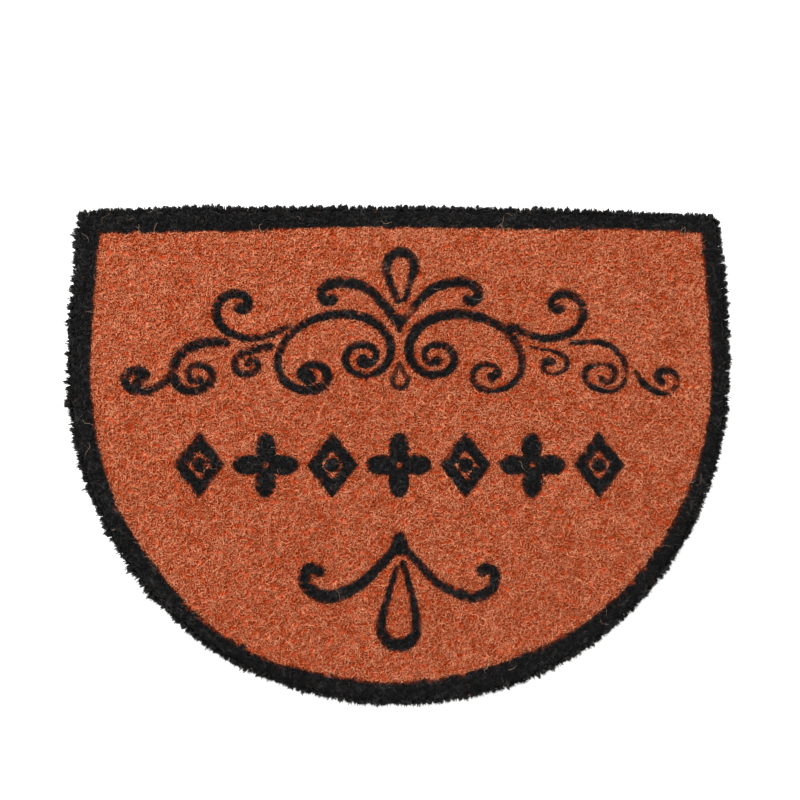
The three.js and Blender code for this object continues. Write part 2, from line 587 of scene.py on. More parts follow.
@dataclass(frozen=True)
class RimOutline:
    """The rim's course seen from above, without the tufts that stand out from it.

    The front is a half ellipse, a little fuller than a true one. The sides run nearly
    straight and taper slightly towards the back edge, which bows out a little between two
    small corners, the most to the left of its middle.
    """

    half_width: float
    front_depth: float
    middle_y: float
    side_length: float = 130 * MM
    back_bow: float = 7.6 * MM
    bow_shift: float = -60 * MM
    side_taper: float = 4 * MM
    corner: float = 11 * MM
    fullness: float = 2.05
    left_lift: float = 3.2 * MM
    lift_from: tuple[float, float] = (-135 * MM, 70 * MM)
    lift_over: tuple[float, float] = (45 * MM, 50 * MM)

    # The points on each bend, the step of the depth's grid, and the rim points it measures to
    FINE: ClassVar[int] = 400
    DEPTH_STEP: ClassVar[float] = 2 * MM
    RIM_POINTS: ClassVar[int] = 1200

    @classmethod
    def in_frame(cls, tuft_reach: float = 3.4 * MM) -> "RimOutline":
        """Fits the rim into the CAD mat's box, less the reach of its tufts.

        Args:
            tuft_reach: How far the longest tufts stand out from the rim.

        Returns:
            The rim.
        """
        low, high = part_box(MAT_NODE)
        back = high.y - tuft_reach
        middle = back - cls.side_length - cls.back_bow
        return cls((high.x - low.x) / 2 - tuft_reach, middle - low.y - tuft_reach, middle)

    def course(self, count: int) -> tuple[np.ndarray, np.ndarray]:
        """Walks round the rim in even steps, anticlockwise from the left end of the front.

        Args:
            count: The number of steps.

        Returns:
            The points and their outward directions, a row of x and y for each step.
        """
        side_top = self.side_length - self.corner
        back = self.half_width - self.side_taper
        turn = np.linspace(math.pi, 2 * math.pi, 4 * self.FINE)
        fuller = [np.sign(v) * np.abs(v) ** (2 / self.fullness) for v in (np.cos(turn), np.sin(turn))]
        front = np.stack([self.half_width * fuller[0], self.front_depth * fuller[1]], 1)
        side_bend, top_end = (back, self.side_length), (back - self.corner, self.side_length)
        right = [
            self._bend((self.half_width, 0), (self.half_width, side_top / 2), (back, side_top)),
            self._bend((back, side_top), side_bend, top_end),
        ]
        bow_handle = (self.bow_shift, self.side_length + 2 * self.back_bow)
        top = self._bend(top_end, bow_handle, (-top_end[0], top_end[1]))
        left = [part[::-1] * (-1, 1) for part in reversed(right)]
        line = np.concatenate([front, *right, top, *left])
        line[:, 1] += self._lift(line)
        line[:, 1] += self.middle_y
        lengths = np.hypot(*np.diff(line, axis=0).T)
        travelled = np.concatenate([[0], np.cumsum(lengths)])
        stops = np.linspace(0, travelled[-1], count, endpoint=False)
        points = np.stack([np.interp(stops, travelled, line[:, i]) for i in (0, 1)], 1)
        along = np.roll(points, -1, 0) - np.roll(points, 1, 0)
        along /= np.hypot(*along.T)[:, None]
        return points, np.stack([along[:, 1], -along[:, 0]], 1)

    def _lift(self, line: np.ndarray) -> np.ndarray:
        """Says how far the back edge stands out further at its left than at its right.

        The lift grows from nothing to full over a strip in x, and over another in y, with
        both shares eased.

        Args:
            line: One row of x and y for each point, from the front's middle.

        Returns:
            The lift of each point.
        """
        share = np.clip((line - self.lift_from) * (-1, 1) / self.lift_over, 0, 1)
        return self.left_lift * eased(share).prod(1)

    def _bend(self, start: Place, handle: Place, end: Place) -> np.ndarray:
        """Draws a quadratic curve from start to end that leans towards its handle.

        Args:
            start: The first point.
            handle: The point where the tangents of its two ends meet.
            end: The last point.

        Returns:
            Points along the curve.
        """
        t = np.linspace(0, 1, self.FINE)[:, None]
        return (1 - t) ** 2 * np.array(start) + 2 * t * (1 - t) * np.array(handle) + t * t * np.array(end)

    def area(self) -> float:
        """Gives the plan area inside the rim, by the shoelace sum over its points."""
        x, y = self.course(self.RIM_POINTS)[0].T
        return float(abs((x * np.roll(y, -1) - y * np.roll(x, -1)).sum()) / 2)

    def depth(self) -> PlanGrid:
        """Measures how far each place on the plan lies inside the rim. Outside it is less than 0.

        Returns:
            A grid with the distance to the nearest of many rim points, taken as negative where
            the way to it runs against the rim's outward direction.
        """
        grid = PlanGrid.over_mat(self.DEPTH_STEP, 0.0)
        rim, outward = self.course(self.RIM_POINTS)
        for row, y in enumerate(grid.y):
            dx = rim[:, 0] - grid.x[:, None]
            dy = rim[:, 1] - y
            nearest = (dx * dx + dy * dy).argmin(1)
            way = rim[nearest] - np.stack([grid.x, np.full_like(grid.x, y)], 1)
            inside = (way * outward[nearest]).sum(1) > 0
            grid.values[row] = np.hypot(*way.T) * np.where(inside, 1, -1)
        return grid


@dataclass(frozen=True)
class Scroll:
    """A stroke of the ornament, drawn with a round pen that changes its width.

    Attributes:
        nodes: Places that the pen passes, each with x and y in millimetres, its heading in
            degrees anticlockwise from +X, and the pen's width in millimetres. A fifth number
            is its width in the mirrored stroke, where that is thinner or bolder.
        balls: Round blots, each with x, y and radius in millimetres, and in the same way
            with the mirrored blot's radius.
        mirrored: Whether the same stroke also stands on the other side of the middle line.
    """

    nodes: tuple[tuple[float, ...], ...] = ()
    balls: tuple[tuple[float, ...], ...] = ()
    mirrored: bool = True

    STEPS: ClassVar[int] = 48
    STRAIGHT: ClassVar[float] = 3.0

    def spans(self) -> list[np.ndarray]:
        """Lays pen marks along each span between two nodes, and one for each ball.

        A span is a cubic Bezier curve. Its handles point along the two headings. Each reaches
        k of the way to the point where the headings cross, where k is 4/3 tan(turn/4) /
        tan(turn/2), which is a circular arc's share. Where the turn is too small for that, as
        STRAIGHT says in degrees, each reaches a third of the span's length.

        Returns:
            For each span or ball, one row of x, y, half width and mirrored half width for
            each mark, in metres.
        """
        marks = [self._span(a, b) for a, b in zip(self.nodes, self.nodes[1:])]
        marks += [np.array([(*ball, ball[2])[:4]]) for ball in self.balls]
        return [rows * MM for rows in marks]

    def _span(self, start: tuple[float, ...], end: tuple[float, ...]) -> np.ndarray:
        """Draws one span, as spans() says.

        Args:
            start: The node where it begins.
            end: The node where it ends.

        Returns:
            One row of x, y, half width and mirrored half width for each mark, in millimetres.
        """
        begin, finish = np.array(start[:2]), np.array(end[:2])
        from_width, to_width = (np.array((*node[3:], node[3])[:2]) for node in (start, end))
        ways = heading(np.radians([start[2], end[2]]))
        chord = finish - begin
        turn = abs((end[2] - start[2] + 180) % 360 - 180)
        if turn < self.STRAIGHT:
            reaches = [np.hypot(*chord) / 3] * 2
        else:
            cross = ways[0][0] * ways[1][1] - ways[0][1] * ways[1][0]
            share = 4 / 3 * math.tan(math.radians(turn) / 4) / math.tan(math.radians(turn) / 2)
            reaches = [
                share * (chord[0] * ways[1][1] - chord[1] * ways[1][0]) / cross,
                share * (ways[0][0] * chord[1] - ways[0][1] * chord[0]) / cross,
            ]
        t = np.linspace(0, 1, self.STEPS)[:, None]
        first, second = begin + ways[0] * reaches[0], finish - ways[1] * reaches[1]
        near = (1 - t) ** 3 * begin + 3 * (1 - t) ** 2 * t * first
        far = 3 * (1 - t) * t * t * second + t ** 3 * finish
        return np.concatenate([near + far, (from_width + (to_width - from_width) * t) / 2], 1)


class Motif(Enum):
    """The two shapes that take turns in the row across the middle."""

    LOZENGE = "lozenge"
    QUATREFOIL = "quatrefoil"


@dataclass(frozen=True)
class MotifRow:
    """A plain row of bold shapes across the middle of the mat."""

    count: int = 7
    left: float = -177 * MM
    right: float = 177 * MM
    y: float = -15 * MM
    half_height: float = 29 * MM
    lozenge_half_width: float = 22 * MM
    stroke: float = 9 * MM
    dot: float = 6 * MM
    petal_out: float = 15 * MM
    petal_length: float = 13 * MM
    petal_width: float = 8.5 * MM
    eye: float = 3 * MM

    def draw(self, grid: PlanGrid) -> None:
        """Lowers a grid of distances to the row's shapes, which take turns.

        Args:
            grid: The distances, which are less than 0 inside a shape.
        """
        shapes = {Motif.LOZENGE: self._lozenge, Motif.QUATREFOIL: self._quatrefoil}
        reach = self.half_height + self.stroke
        for x, motif in zip(np.linspace(self.left, self.right, self.count), cycle(Motif)):
            centre = np.array([x, self.y])
            rows, columns = grid.window(centre - reach, centre + reach)
            dx, dy = grid.x[None, columns] - x, grid.y[rows, None] - self.y
            window = grid.values[rows, columns]
            np.minimum(window, shapes[motif](dx, dy), out=window)

    def _lozenge(self, dx: np.ndarray, dy: np.ndarray) -> np.ndarray:
        """Gives the distance to a lozenge's outline, drawn with the stroke, and to its dot.

        Args:
            dx: Distances from its centre in x.
            dy: Distances from its centre in y.

        Returns:
            The distance, less than 0 inside the stroke and the dot.
        """
        a, b = self.lozenge_half_width, self.half_height
        edge = (np.abs(dx) / a + np.abs(dy) / b - 1) / math.hypot(1 / a, 1 / b)
        band = np.abs(edge + self.stroke / 2) - self.stroke / 2
        return np.minimum(band, np.hypot(dx, dy) - self.dot)

    def _quatrefoil(self, dx: np.ndarray, dy: np.ndarray) -> np.ndarray:
        """Gives the distance to four oval petals round an open eye.

        Args:
            dx: Distances from its centre in x.
            dy: Distances from its centre in y.

        Returns:
            The distance, less than 0 inside a petal.
        """
        side, upright = (
            np.hypot((np.abs(along) - self.petal_out) / self.petal_length, across / self.petal_width)
            for along, across in ((dx, dy), (dy, dx))
        )
        petals = (np.minimum(side, upright) - 1) * self.petal_width
        return np.maximum(petals, self.eye - np.hypot(dx, dy))


@dataclass(frozen=True)
class WornPatch:
    """A round place where the black print is thin, in millimetres.

    Attributes:
        x: Its centre's x.
        y: Its centre's y.
        radius: The width of the ring in which the loss fades out.
        loss: The share of the dye that is gone inside that ring.
    """

    x: float
    y: float
    radius: float
    loss: float

    OUTSIDE: ClassVar[float] = 1.3

    def kept(self, plan: np.ndarray) -> np.ndarray:
        """Gives the share of the dye that is left. The loss ends OUTSIDE radii from the centre.

        Args:
            plan: One row of x and y for each point, in metres.

        Returns:
            The share at each point.
        """
        away = np.hypot(*(plan / MM - (self.x, self.y)).T) / self.radius
        return 1 - self.loss * np.clip(self.OUTSIDE - away, 0, 1)


@dataclass
class BlackPrint:
    """The black dye: the border, the scrolls, the row of shapes and the lower ornament."""

    rim_depth: PlanGrid
    axis_x: float = 0.9 * MM
    shift_x: float = 0.8 * MM
    border: tuple[float, ...] = (
        15.0, 16.7, 17.9, 17.6, 20.4, 19.8, 19.9, 20.2, 20.9, 24.4, 22.2, 21.6,
        20.9, 18.4, 19.1, 15.7, 14.6, 18.9, 17.9, 20.0, 20.2, 17.3, 16.9, 17.0,
    )
    border_middle: tuple[float, float] = (0.9 * MM, 19 * MM)
    border_waver: float = 0.9 * MM
    border_drift: SmoothField = SmoothField(11 * MM, 43)
    border_ragged: float = 0.8 * MM
    border_tufts: SmoothField = SmoothField(2.6 * MM, 44)
    ragged: float = 0.35 * MM
    tufts: SmoothField = SmoothField(1.7 * MM, 41)
    waver: float = 0.3 * MM
    drift: SmoothField = SmoothField(5 * MM, 42)
    bleed: float = 0.75 * MM
    step: float = 0.75 * MM
    edge: float = 0.45 * MM
    scrolls: tuple[Scroll, ...] = (
        # The upper side scroll, whose end curls over a ball
        Scroll(((-98, 111.5, 208, 4, 5), (-130, 99.7, 180, 5.5, 6.3), (-164.5, 124, 90, 7.8, 6.2),
                (-147, 141, 0, 7.2, 6.7), (-135, 131, -90, 6.2, 4.7), (-141, 125.5, -180, 6, 4.2)),
               ((-141, 127.3, 5.2, 4.6), (-145, 127.4, 3.4, 2), (-104, 108.6, 1, 3.4))),
        # The great arch, with a curl at each foot
        Scroll(((-88, 66, 90, 5.5, 3.6), (-76, 76, 0, 6.5, 4.2), (-64, 65, -90, 7.5, 4.4),
                (-81, 52, 180, 7.5, 3.6), (-108.5, 77, 90, 5.5, 5.8), (-91.4, 109, 37.8, 5.4, 6),
                (-50, 122.3, 0, 8, 8.8), (-7.3, 90, -90, 6.5, 7.5),
                (-29, 66.3, 180, 5, 6.5), (-48, 80, 90, 5.5, 6.5), (-33, 94.3, 0, 6, 5),
                (-20.5, 86, -90, 5, 4), (-28, 76, 180, 5, 4)),
               ((-81, 64, 6.4, 4), (-32, 79, 6, 4.4))),
        # The leaf that springs from the middle
        Scroll(((0, 113, 124, 8, 5.5), (-21, 139.5, 133, 7.2, 6.5), (-53, 152, 180, 9.6, 9),
                (-70, 141.5, 270, 8, 7.3), (-64, 133, 0, 6.2, 5.8)), ((-60, 135.5, 4.8, 4.5),)),
        # The small curl on the left
        Scroll(((-116, 92.8, 195, 5.5), (-137, 87, 196, 6), (-147, 76, 270, 5.4), (-138, 67, 0, 5),
                (-126, 74, 90, 4.8), (-131.5, 80, 180, 4), (-136, 76, -100, 4)),
               ((-134.5, 77.5, 2.8), (-128, 77, 1)), mirrored=False),
        # The small curl on the right, which is thinner
        Scroll(((117, 92.5, -14, 0.3), (133.7, 89, -8, 1.2), (144.5, 86, -32, 4), (150.5, 76.5, -90, 3.6),
                (138, 67.6, 180, 1.8), (128.2, 75, 90, 3.6), (133.8, 80.5, 0, 3.6),
                (138.5, 77.3, -90, 2.8)),
               ((132.5, 78, 3), (136.8, 77.3, 2.2)), mirrored=False),
        # The middle curl on the left
        Scroll(((-155, 96, 172, 6.6), (-184, 93, 205, 8.4), (-202.5, 69, 270, 7.3), (-184, 51.3, 0, 7.3),
                (-167, 66, 90, 6.2), (-181, 75.5, 180, 4.8), (-188.5, 67.5, 270, 5.2), (-183, 60, 0, 5)),
               ((-179, 61.5, 3.7),), mirrored=False),
        # The middle curl on the right
        Scroll(((154.5, 96, 2, 3.4), (178, 96.7, -8, 4), (199.5, 82.6, -58, 5), (203.6, 67.4, -92, 2.4),
                (186.6, 51.5, 180, 3.2), (166.2, 67.4, 90, 5.6), (181.3, 76.5, 0, 2), (193.5, 68.9, -90, 4),
                (185.4, 59.7, 180, 4.4)),
               ((181.8, 61.8, 2.6),), mirrored=False),
        # The tail at the left
        Scroll(((-203, 67, 235, 5), (-233, 50.8, 180, 6), (-245, 62.5, 90, 6.4), (-235, 71, 0, 6.3),
                (-226, 66, -80, 6.2)),
               ((-230.5, 65, 5.5), (-234, 58.5, 4.5)), mirrored=False),
        # The tail at the right
        Scroll(((212, 68.8, -64, 2.6), (218, 58.8, -42, 5), (235.6, 49.9, 0, 4.2), (249.2, 60.6, 90, 1.7),
                (239.4, 70.6, 180, 5.6), (231, 64.4, 270, 6.4), (235.6, 59.5, -20, 4.8)),
               ((233.6, 61, 2.8),), mirrored=False),
        # The lower ornament's arm
        Scroll(((-4, -90, 228, 7, 5.5), (-33, -120.5, 209, 9, 6.5), (-62, -131.5, 180, 11, 8.5),
                (-82.5, -115, 90, 9.5, 8.5), (-74.5, -106, 0, 8.5, 7.5), (-69, -110.5, -90, 6, 5.5)),
               ((-71.5, -109, 4.5, 4.2),)),
        # The drop over the middle, open at its foot
        Scroll(((-1, 134, 112, 4.5), (-11.7, 163, 90, 7), (1.3, 180.3, 0, 9), (14.3, 163, -90, 8),
                (5.5, 136, -105, 3.5)), mirrored=False),
        # The leaves' foot, with a small blot under it
        Scroll(balls=((0, 116, 5.5), (0.5, 107.5, 2.2)), mirrored=False),
        # The small drop between the arches
        Scroll(((-0.5, 76, 250, 2.2), (-6.5, 63.5, -90, 3.6), (1, 54.5, 0, 3.2), (8, 63.5, 90, 3.6),
                (1.5, 76, 110, 2.2)), mirrored=False),
        # The lower ornament's drop
        Scroll(((-2, -106, 258, 2.6), (-10, -133, 253, 4.8), (-15.8, -157, 270, 7.5), (0, -173.3, 0, 11),
                (15.3, -157, 90, 7.8), (12, -133, 104, 4.8), (3.5, -105, 98, 3)), mirrored=False),
        # The knob that the arms hang from
        Scroll(balls=((0.5, -80.5, 5.1), (0.3, -86.2, 7), (0.4, -89, 5.2)), mirrored=False),
        # A stray blot
        Scroll(balls=((-136, -174, 1.6),), mirrored=False),
    )
    row: MotifRow = MotifRow()
    worn: tuple[WornPatch, ...] = (
        WornPatch(8.5, 125, 6, 0.55),
        WornPatch(0.5, 66, 10, 0.2),
        WornPatch(-97, 112.5, 3.5, 0.6),
        WornPatch(206.5, 65, 3.6, 0.95),
    )
    shapes: PlanGrid = field(init=False)

    # A distance greater than any on the plan, and how many edges past a mark the grid is drawn
    FAR: ClassVar[float] = 1.0
    MARGIN_EDGES: ClassVar[int] = 6

    def __post_init__(self) -> None:
        """Draws every shape into one grid of distances."""
        self.shapes = PlanGrid.over_mat(self.step, self.FAR)
        for scroll in self.scrolls:
            for marks in scroll.spans():
                self._stamp(marks)
                if scroll.mirrored:
                    flipped = marks[:, [0, 1, 3]] * (-1, 1, 1) + (2 * self.axis_x, 0, 0)
                    self._stamp(flipped)
        self.row.draw(self.shapes)

    def _stamp(self, marks: np.ndarray) -> None:
        """Lowers the grid to the distance from the nearest of some round pen marks.

        Args:
            marks: One row of x, y and half width for each mark.
        """
        reach = marks[:, 2].max() + self.MARGIN_EDGES * self.edge
        rows, columns = self.shapes.window(marks[:, :2].min(0) - reach, marks[:, :2].max(0) + reach)
        dx = self.shapes.x[columns][None, :, None] - marks[:, 0]
        dy = self.shapes.y[rows][:, None, None] - marks[:, 1]
        near = (np.hypot(dx, dy) - marks[:, 2]).min(-1)
        window = self.shapes.values[rows, columns]
        np.minimum(window, near, out=window)

    def _border_width(self, plan: np.ndarray) -> np.ndarray:
        """Gives the border's width, which was printed by hand and so isn't even.

        It runs straight from each of the listed widths to the next. They stand at equal
        angles round the border's middle, anticlockwise from +X.

        Args:
            plan: One row of x and y for each point.

        Returns:
            The width at each point.
        """
        angle = np.arctan2(*(plan - self.border_middle).T[::-1]) % (2 * math.pi)
        stops = np.linspace(0, 2 * math.pi, len(self.border) + 1)
        return MM * np.interp(angle, stops, (*self.border, self.border[0]))

    def amount(self, plan: np.ndarray) -> np.ndarray:
        """Says how much black dye the pile holds.

        The dye fades from full to none across the edge's width, where the distance to the
        nearest shape or to the border's inner side crosses 0. Random fields make that line
        uneven, as fibres do, the most along the border. Worn patches then take a share away.

        Args:
            plan: One row of x and y for each point.

        Returns:
            The amount at each point, from 0 to 1.
        """
        border = self._border_width(plan) + self.border_waver * self.border_drift.at(plan)
        border += self.border_ragged * self.border_tufts.at(plan)
        placed = plan - (self.shift_x, 0)
        distance = np.minimum(self.shapes.at(placed) - self.bleed, self.rim_depth.at(plan) - border)
        distance += self.ragged * self.tufts.at(plan) + self.waver * self.drift.at(plan)
        amount = np.clip(0.5 - distance / self.edge, 0, 1)
        for patch in self.worn:
            amount *= patch.kept(placed)
        return amount


@dataclass
class PileRelief:
    """The heights of the cut pile's top and of the packed fibre under it."""

    rim_depth: PlanGrid
    top: float
    tuft: SmoothField = SmoothField(5.2 * MM, 11)
    swell: SmoothField = SmoothField(15 * MM, 12)
    tuft_height: float = 0.6 * MM
    swell_height: float = 0.4 * MM
    rim_fall: float = 2.4 * MM
    rim_reach: float = 8 * MM
    packing: float = 4.8 * MM

    def crown(self, plan: np.ndarray) -> np.ndarray:
        """Gives the height of the pile's top.

        It is the mat's height less what two random fields and the rounding of the rim take
        away. The rim's rounding grows as the square of the nearness to the rim.

        Args:
            plan: One row of x and y for each point.

        Returns:
            The height at each point.
        """
        near_rim = np.clip(1 - self.rim_depth.at(plan) / self.rim_reach, 0, 1)
        hollow = self.tuft_height * (1 - self.tuft.at(plan)) + self.swell_height * (1 - self.swell.at(plan))
        return self.top - hollow - self.rim_fall * near_rim ** 2

    def bed(self, plan: np.ndarray) -> np.ndarray:
        """Gives the height of the packed fibre, a fixed depth under the crown."""
        return self.crown(plan) - self.packing


@dataclass
class FibreColour:
    """How the dye and the shade vary from fibre to fibre."""

    black: BlackPrint
    mottle: SmoothField = SmoothField(8 * MM, 21)
    clump: SmoothField = SmoothField(5 * MM, 22)
    broad: SmoothField = SmoothField(32 * MM, 23)
    middle: float = 0.395
    mottle_share: float = 0.10
    clump_share: float = 0.17
    broad_share: float = 0.03
    own_share: float = 0.165
    hair_share: float = 0.3
    missed: float = 0.004
    missed_dye: float = 0.8

    def shade(self, plan: np.ndarray, hairs: np.ndarray | bool, rng: np.random.Generator) -> np.ndarray:
        """Gives each fibre its own shade.

        It is a middle shade plus shares of three random fields, for mottling, clumps and
        broad drifts, and of the fibre's own chance. A hair is paler still.

        Args:
            plan: One row of x and y for each fibre.
            hairs: Which of the fibres are hairs, or False for none.
            rng: Where the chances come from.

        Returns:
            The shade of each fibre, from 0 for dull to 1 for pale.
        """
        shade = (
            self.middle
            + self.mottle_share * self.mottle.at(plan)
            + self.clump_share * self.clump.at(plan)
            + self.broad_share * self.broad.at(plan)
            + self.own_share * rng.normal(size=len(plan))
            + self.hair_share * hairs
        )
        return np.clip(shade, 0, 1)

    def dye(self, plan: np.ndarray, each: int, rng: np.random.Generator) -> np.ndarray:
        """Gives the black dye at each point. A few fibres missed most of it.

        Args:
            plan: One row of x and y for each point, fibre by fibre.
            each: The number of points of a fibre.
            rng: Where the chances come from.

        Returns:
            The amount at each point, from 0 to 1.
        """
        taken = np.where(rng.uniform(size=len(plan) // each) < self.missed, self.missed_dye, 1.0)
        return self.black.amount(plan) * np.repeat(taken, each)


@dataclass(frozen=True)
class Chisels:
    """Cut fibres, each a closed chisel of four faces.

    A chisel has a root edge and an end edge at right angles to it and to its length, so
    that it is broad at its foot and blunt at its top, as a cut fibre is.

    Attributes:
        roots: One row of x, y and z for each fibre's foot.
        tips: One row of x, y and z for each fibre's end.
        root_half_width: Half the length of each root edge.
        end_half_width: Half the length of each end edge.
        hairs: Which of them are hairs, which are as pale at the root as at the end.
    """

    roots: np.ndarray
    tips: np.ndarray
    root_half_width: np.ndarray
    end_half_width: np.ndarray
    hairs: np.ndarray

    EACH: ClassVar[int] = 4
    CORNERS: ClassVar[np.ndarray] = np.array(
        [(across, along) for along in (CELL_LOW, CELL_HIGH) for across in (CELL_LOW, CELL_HIGH)]
    )
    FACES: ClassVar[np.ndarray] = np.array([[0, 1, 2], [1, 0, 3], [3, 2, 1], [2, 3, 0]])

    def surface(self, name: str, colour: FibreColour, rng: np.random.Generator) -> Surface:
        """Works out the chisels' points, faces and colours.

        The root edge points a random way across the fibre: the cross product of the fibre's
        direction and a random direction. The end edge is the cross product of both.

        Args:
            name: The piece's name.
            colour: How the fibres are coloured.
            rng: Where the chances come from.

        Returns:
            The fibres as one surface.
        """
        count = len(self.roots)
        along = self.tips - self.roots
        along = along / np.linalg.norm(along, axis=1)[:, None]
        foot = np.cross(along, rng.normal(size=(count, 3)))
        foot /= np.linalg.norm(foot, axis=1)[:, None]
        end = np.cross(along, foot) * self.end_half_width[:, None]
        foot *= self.root_half_width[:, None]
        points = np.stack([self.roots - foot, self.roots + foot, self.tips - end, self.tips + end], 1)
        points = points.reshape(-1, 3)
        triangles = (self.EACH * np.arange(count)[:, None, None] + self.FACES).reshape(-1, 3)
        values = {
            "dye": colour.dye(points[:, :2], self.EACH, rng),
            "shade": np.repeat(colour.shade(self.roots[:, :2], self.hairs, rng), self.EACH),
            # Roots take the darker root colour, which is partly painted shade. Hairs lie on top and are
            # pale to the root.
            "rise": np.maximum(np.tile([0.0, 0.0, 1.0, 1.0], count), np.repeat(self.hairs, self.EACH)),
        }
        return Surface(name, points, triangles, values, map_cells(count, self.CORNERS))


@dataclass
class MatBed:
    """The mat's body: the vinyl backing and the packed fibre that the pile stands in."""

    rim: RimOutline
    relief: PileRelief
    colour: FibreColour
    stations: int = 300
    top_rings: int = 58
    under_rings: int = 4
    backing: float = 2.4 * MM
    backing_inset: float = 2.4 * MM
    wall_inset: float = 2.4 * MM
    shoulder_inset: float = 3.6 * MM
    seed: int = 5

    POLES_FORWARD: ClassVar[float] = 0.25

    def build(self, coir: bpy.types.Material, vinyl: bpy.types.Material) -> bpy.types.Object:
        """Builds the bed and lets it stand for the CAD mat. All up to the backing's top is vinyl.

        Args:
            coir: The fibre's material.
            vinyl: The backing's material.

        Returns:
            The finished object.
        """
        poles, rings = self._profile()
        points = np.concatenate([poles, *rings])
        triangles = self._faces(len(rings))
        plan = points[:, :2]
        values = {
            "dye": self.colour.black.amount(plan),
            "shade": self.colour.shade(plan, False, np.random.default_rng(self.seed)),
            # The bed takes the root colour, which is partly painted shade where it shows in the pits
            # between the tufts.
            "rise": np.zeros(len(points)),
        }
        vinyl_faces = points[triangles][:, :, 2].max(1) <= self.backing
        surface = Surface("mat_bed", points, triangles, values, slots=vinyl_faces.astype(int))
        made = surface.piece([coir, vinyl])
        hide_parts(MAT_NODE)
        return made

    def _profile(self) -> tuple[np.ndarray, list[np.ndarray]]:
        """Carries a profile round the rim.

        It runs from a pole on the underside, out to the rim, up the backing's edge and the
        wall, and in over the top to a pole above the first. Its places are the rim's points,
        each less an inset along its outward direction, and inside the rim they are shrunk
        towards the poles as well. The poles stand a share of the front's depth, as
        POLES_FORWARD says, in front of the line where the sides begin.

        Returns:
            The two poles, and the rings from the lower one to the upper one.
        """
        rim, outward = self.rim.course(self.stations)
        centre = np.array([0.0, self.rim.middle_y - self.POLES_FORWARD * self.rim.front_depth])

        def ring(inset: float, height: float | None = None, scale: float = 1.0) -> np.ndarray:
            """Places one ring of the profile.

            Args:
                inset: How far inside the rim it lies.
                height: Its height. Without one it lies on the bed of packed fibre.
                scale: What it is shrunk by towards the poles.

            Returns:
                One row of x, y and z for each station.
            """
            plan = centre + (rim - outward * inset - centre) * scale
            heights = self.relief.bed(plan) if height is None else np.full(self.stations, height)
            return np.column_stack([plan, heights])

        wall_top = ring(self.wall_inset)
        wall_top[:, 2] = ring(self.shoulder_inset)[:, 2] - self.backing
        out = np.linspace(0, 1, self.under_rings + 2)[1:]
        back_in = np.linspace(1, 0, self.top_rings + 1)[:-1]
        rings = [
            *(ring(self.backing_inset, 0.0, scale) for scale in out),
            ring(self.backing_inset, self.backing),
            ring(self.wall_inset, self.backing),
            wall_top,
            *(ring(self.shoulder_inset, None, scale) for scale in back_in),
        ]
        return np.array([[*centre, 0.0], [*centre, self.relief.bed(centre[None])[0]]]), rings

    def _faces(self, rings: int) -> np.ndarray:
        """Joins each ring to the next by a band of triangles, and the end rings to the poles.

        Args:
            rings: The number of rings.

        Returns:
            One row of three point numbers for each face.
        """
        grid = 2 + np.arange(rings * self.stations).reshape(rings, self.stations)
        beside = np.roll(grid, -1, 1)
        lower_pole, upper_pole = np.zeros_like(grid[0]), np.ones_like(grid[0])
        bands = (
            (grid[:-1], beside[:-1], beside[1:]),
            (grid[:-1], beside[1:], grid[1:]),
            (lower_pole, beside[0], grid[0]),
            (upper_pole, grid[-1], beside[-1]),
        )
        return np.concatenate([np.stack(corners, -1).reshape(-1, 3) for corners in bands])


